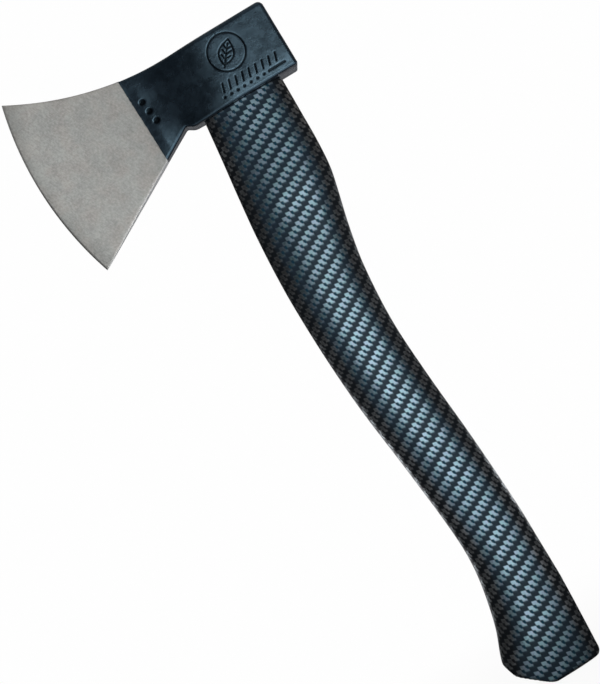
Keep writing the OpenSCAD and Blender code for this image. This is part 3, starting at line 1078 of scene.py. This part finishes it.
def make_wood_wedge():
    """The wooden wedge fills its seat from end to end of the eye, and the steel wedges split it."""
    rings = []
    for share in (0.0, 0.25, 0.5, 0.75, 0.98, 1.0):
        z = WOOD_WEDGE_FOOT + (TONGUE_TOP - WOOD_WEDGE_FOOT) * share
        half_y = KERF_HALF_W + (WOOD_WEDGE_HALF_T - KERF_HALF_W) * share - FIT_GAP
        radius = EYE_END_R + float(eye_grow(z)) - FIT_GAP
        if share == 1.0:
            half_y, radius = half_y - 0.15, radius - 0.15
        lean = math.asin(half_y / radius)
        ring = []
        for way in (1, -1):
            for a in np.linspace(-lean, lean, 9):
                ring.append((way * (EYE_HALF_L + radius * math.cos(a)), way * radius * math.sin(a), z))
            for x in np.linspace(way, -way, 15)[1:-1] * EYE_HALF_L:
                ring.append((x, way * half_y, z))
        rings.append(np.array(ring))
    faces = skin_faces(len(rings), len(rings[0]))
    wedge = mesh_object("wedge_wood", np.concatenate(rings), faces)
    turn_outwards(wedge)
    cut(wedge, *wedge_slots())
    smooth(wedge, 35)
    wedge.data.materials.clear()
    wedge.data.materials.append(
        wood_material("wedge_end_grain", (0.64, 0.49, 0.30), (0.52, 0.37, 0.20), pith=(-80, 9)))
    place(wedge, "wood_wedge")


# ---- Studio ---------------------------------------------------------------------------------

MIDDLE = np.array((cad_box[0] + cad_box[1]) / 2)
FLOOR_HALF_W = 6.0
PAPER = 0.992                               # how white the backdrop is to the camera


def reflected_glow(n, at):
    """How bright each spot of the floor is where it reflects in the hatchet."""
    x, y, _ = n.split(at)
    # a lit table in front
    table = n.times(n.band(y, -0.03, -0.25, 0.0, 2.2), n.band(x, -0.60, -0.12), n.band(x, 0.65, 0.35))
    # a lit patch behind on either side
    aside = n.math("ABSOLUTE", x)
    patch_x = n.times(n.band(aside, 0.25, 0.50), n.band(aside, 1.1, 0.9))
    patches = n.times(n.band(y, 0.40, 0.60, 0.0, 4.2), n.band(y, 1.2, 0.8), patch_x)
    # and a backdrop far behind
    backdrop = n.times(n.band(y, 1.2, 2.0, 0.08, 0.60), n.band(y, 3.0, 4.0, 1.0, 0.1))
    return n.plus(n.plus(backdrop, table), patches)


def make_floor():
    """A pale floor under the pommel that turns into the backdrop further out."""
    h = FLOOR_HALF_W
    mesh = bpy.data.meshes.new("floor")
    mesh.from_pydata([(-h, -h, 0), (h, -h, 0), (h, h, 0), (-h, h, 0)], [], [(0, 1, 2, 3)])
    floor = bpy.data.objects.new("floor", mesh)
    floor.location.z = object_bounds()[0].z - 0.0003
    bpy.context.scene.collection.objects.link(floor)
    material, n = new_material("pale_floor")
    at = n.add("ShaderNodeTexCoord", output=3)
    mottle = n.band(n.noise(at, 30.0, 3.0), 0.3, 0.7, 0.90, 0.94)
    matt = n.add("ShaderNodeBsdfDiffuse", {"Color": n.combine(mottle, mottle, mottle)})
    glow = n.add("ShaderNodeEmission", {"Color": (PAPER,) * 3, "Strength": 1.0})
    share = n.band(n.length(at), 0.03, 0.25, 0.93, 1.0)
    seen = n.add("ShaderNodeMixShader", {0: share, 1: matt, 2: glow})
    reflected = n.add("ShaderNodeEmission", {"Color": (0.94, 0.95, 1.0), "Strength": reflected_glow(n, at)})
    to_camera = n.add("ShaderNodeLightPath", output=0)
    n.add_output(n.add("ShaderNodeMixShader", {0: to_camera, 1: reflected, 2: seen}))
    mesh.materials.append(material)


def make_world():
    """White to the camera, and a dim soft surround to everything else."""
    world = bpy.data.worlds.new("studio")
    bpy.context.scene.world = world
    world.use_nodes = True
    n = Nodes(world.node_tree)
    way = n.add("ShaderNodeTexCoord", output=0)
    _, _, up = n.split(way)
    dim = n.band(up, 0.3, 0.9, 0.03, 0.35)
    surround = n.add("ShaderNodeBackground", {"Color": WHITE, "Strength": dim})
    paper = n.add("ShaderNodeBackground", {"Color": (PAPER,) * 3, "Strength": 1.0})
    to_camera = n.add("ShaderNodeLightPath", output=0)
    mixed = n.add("ShaderNodeMixShader", {0: to_camera, 1: surround, 2: paper})
    n.add_output(mixed, "ShaderNodeOutputWorld")


def softbox(name, offset, size, radiance):
    """A rectangular light of even brightness that looks at the middle; radiance 1 looks white."""
    light = bpy.data.lights.new(name, "AREA")
    light.shape = "RECTANGLE"
    light.size, light.size_y = size
    light.energy = radiance * size[0] * size[1] * math.pi
    obj = bpy.data.objects.new(name, light)
    bpy.context.scene.collection.objects.link(obj)
    obj.location = MIDDLE + offset
    obj.rotation_mode = "QUATERNION"
    obj.rotation_quaternion = (-Vector(offset)).to_track_quat("-Z", "Y")
    return obj


def make_lights():
    """A wide key in front, a lower fill left of it, a soft top light and a weak warm light behind."""
    softbox("key", [0.28, -1.45, 0.00], (1.24, 0.42), 5.4)
    softbox("low_left", [-0.30, -1.45, -0.09], (0.60, 0.20), 2.8)
    top = softbox("top", [0.1, -0.1, 1.5], (1.6, 1.6), 1.6)
    top.visible_glossy = False
    back = softbox("back", [1.30, 0.60, 0.60], (1.0, 1.0), 0.35)
    back.data.color = (1.0, 0.84, 0.74)


def make_camera():
    """Square on to the side, one metre away, rolled so that the haft leans to the lower right."""
    roll = math.radians(31.15)
    aside, distance, raised = 0.0009, 1.0, 0.01525
    camera = bpy.data.cameras.new("camera")
    camera.lens, camera.sensor_width = 107.2, 36.0
    obj = bpy.data.objects.new("camera", camera)
    bpy.context.scene.collection.objects.link(obj)
    right = (math.cos(roll), 0, -math.sin(roll))
    up = (math.sin(roll), 0, math.cos(roll))
    back = (0, -1, 0)
    turn = Matrix([right, up, back]).transposed().to_4x4()
    place_at = [MIDDLE[0] + aside, -distance, MIDDLE[2] + raised]
    obj.matrix_world = Matrix.Translation(place_at) @ turn
    bpy.context.scene.camera = obj


def make_studio():
    scene = bpy.context.scene
    scene.view_settings.view_transform = "Standard"
    make_floor()
    make_world()
    make_lights()
    make_camera()


make_head()
make_haft()
make_wood_wedge()
make_steel_wedges()
make_studio()
